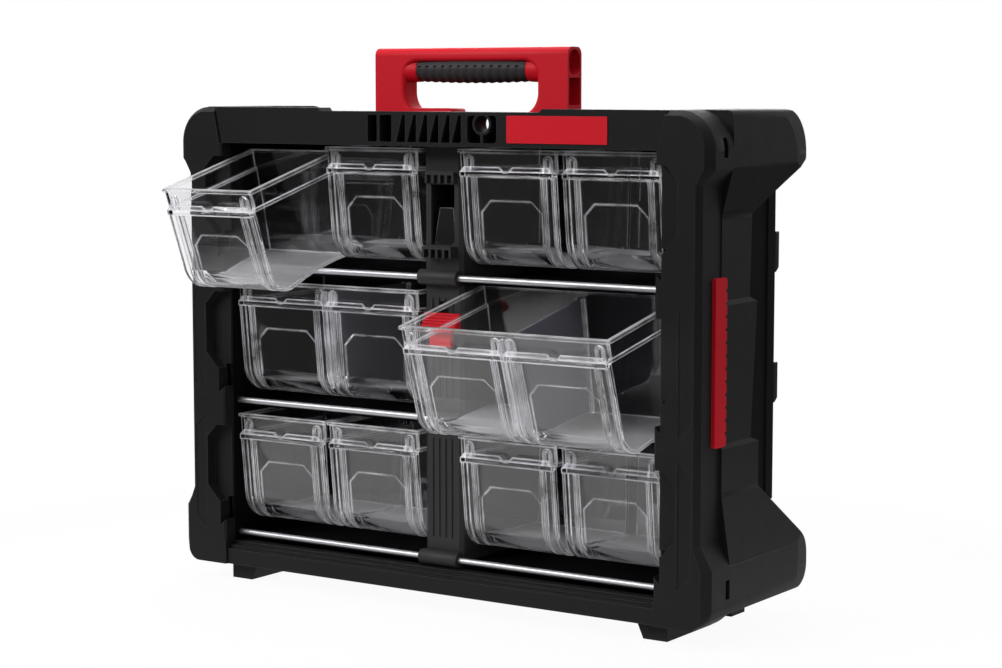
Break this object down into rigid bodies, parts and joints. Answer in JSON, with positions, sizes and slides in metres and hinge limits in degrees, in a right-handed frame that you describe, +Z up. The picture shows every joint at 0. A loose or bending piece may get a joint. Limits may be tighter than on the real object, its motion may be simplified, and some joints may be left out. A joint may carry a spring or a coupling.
{
  "type": "organizer case",
  "caption": "Portable black parts cabinet with rows of clear bins that draw out and tip on steel rods, a centre post with a sliding lock, and a red carry handle with a rubber grip.",
  "frame": {"origin": "on the floor under the feet, midway across the width, and midway in depth between the front rim of the drawn-out single bin and the rear bumpers", "axes": "+X to the object's left-to-right as seen from the front, +Y from the front to the back, +Z up"},
  "size_m": [0.5, 0.2362, 0.438],
  "materials": {
    "black_plastic": "fine textured",
    "clear_plastic": "clear polished",
    "grey_plastic": "satin",
    "red_plastic": "satin",
    "grip_rubber": "ribbed matte",
    "foot_rubber": "matte",
    "bright_steel": "bright plated"
  },
  "bodies": {
    "case": {"right_side_frame": "black_plastic", "left_side_frame": "black_plastic", "right_bay_liner": "black_plastic", "left_bay_liner": "black_plastic", "top_rail": "black_plastic", "badge_plate": "red_plastic", "top_panel": "black_plastic", "base_panel": "black_plastic", "bottom_rail": "black_plastic", "back_panel": "black_plastic", "back_cleats": "black_plastic", "back_screws": "bright_steel", "center_post": "black_plastic", "handle": "red_plastic", "handle_grip": "grip_rubber", "handle_bolts": "bright_steel", "right_grip_strip": "red_plastic", "left_grip_strip": "red_plastic", "right_front_foot": "foot_rubber", "left_front_foot": "foot_rubber", "right_rear_foot": "foot_rubber", "left_rear_foot": "foot_rubber", "lower_rod": "bright_steel", "middle_rod": "bright_steel", "upper_rod": "bright_steel", "lower_right_shelf": "black_plastic", "lower_left_shelf": "black_plastic", "middle_right_shelf": "black_plastic", "middle_left_shelf": "black_plastic", "upper_right_shelf": "black_plastic", "upper_left_shelf": "black_plastic"},
    "lower_right_inner_bin": {"lower_right_inner_bin": "clear_plastic"},
    "lower_right_outer_bin": {"lower_right_outer_bin": "clear_plastic"},
    "lower_left_inner_bin": {"lower_left_inner_bin": "clear_plastic"},
    "lower_left_outer_bin": {"lower_left_outer_bin": "clear_plastic"},
    "middle_right_double_bin": {"middle_right_double_bin": "clear_plastic", "middle_right_divider": "grey_plastic"},
    "middle_left_double_bin": {"middle_left_double_bin": "clear_plastic", "middle_left_divider": "grey_plastic"},
    "upper_right_inner_bin": {"upper_right_inner_bin": "clear_plastic"},
    "upper_right_outer_bin": {"upper_right_outer_bin": "clear_plastic"},
    "upper_left_inner_bin": {"upper_left_inner_bin": "clear_plastic"},
    "upper_left_outer_bin": {"upper_left_outer_bin": "clear_plastic"},
    "lock": {"lock_slider": "red_plastic", "lock_bar": "black_plastic"}
  },
  "joints": [
    {"name": "lower_right_inner_bin_draw", "type": "hinge", "parent": "case", "child": "lower_right_inner_bin", "pos_m": [0.0645, 0.05152, -0.2196], "axis": [1, 0, 0], "range_deg": [0, 15]},
    {"name": "lower_right_outer_bin_draw", "type": "hinge", "parent": "case", "child": "lower_right_outer_bin", "pos_m": [0.1575, 0.05152, -0.2196], "axis": [1, 0, 0], "range_deg": [0, 15]},
    {"name": "lower_left_inner_bin_draw", "type": "hinge", "parent": "case", "child": "lower_left_inner_bin", "pos_m": [-0.0645, 0.05152, -0.2196], "axis": [1, 0, 0], "range_deg": [0, 15]},
    {"name": "lower_left_outer_bin_draw", "type": "hinge", "parent": "case", "child": "lower_left_outer_bin", "pos_m": [-0.1575, 0.05152, -0.2196], "axis": [1, 0, 0], "range_deg": [0, 15]},
    {"name": "middle_right_double_bin_draw", "type": "hinge", "parent": "case", "child": "middle_right_double_bin", "pos_m": [0.111, 0.02452, -0.1314], "axis": [1, 0, 0], "range_deg": [-12, 0]},
    {"name": "middle_left_double_bin_draw", "type": "hinge", "parent": "case", "child": "middle_left_double_bin", "pos_m": [-0.111, 0.02452, -0.1314], "axis": [1, 0, 0], "range_deg": [0, 12]},
    {"name": "upper_right_inner_bin_draw", "type": "hinge", "parent": "case", "child": "upper_right_inner_bin", "pos_m": [0.0645, 0.05152, 0.002], "axis": [1, 0, 0], "range_deg": [0, 15]},
    {"name": "upper_right_outer_bin_draw", "type": "hinge", "parent": "case", "child": "upper_right_outer_bin", "pos_m": [0.1575, 0.05152, 0.002], "axis": [1, 0, 0], "range_deg": [0, 15]},
    {"name": "upper_left_inner_bin_draw", "type": "hinge", "parent": "case", "child": "upper_left_inner_bin", "pos_m": [-0.0645, 0.05152, 0.002], "axis": [1, 0, 0], "range_deg": [0, 15]},
    {"name": "upper_left_outer_bin_draw", "type": "hinge", "parent": "case", "child": "upper_left_outer_bin", "pos_m": [-0.1575, 0.05152, 0.002], "axis": [1, 0, 0], "range_deg": [-15, 0]},
    {"name": "lock_slide", "type": "slide", "parent": "case", "child": "lock", "axis": [0, 0, 1], "range_m": [0, 0.014]}
  ]
}
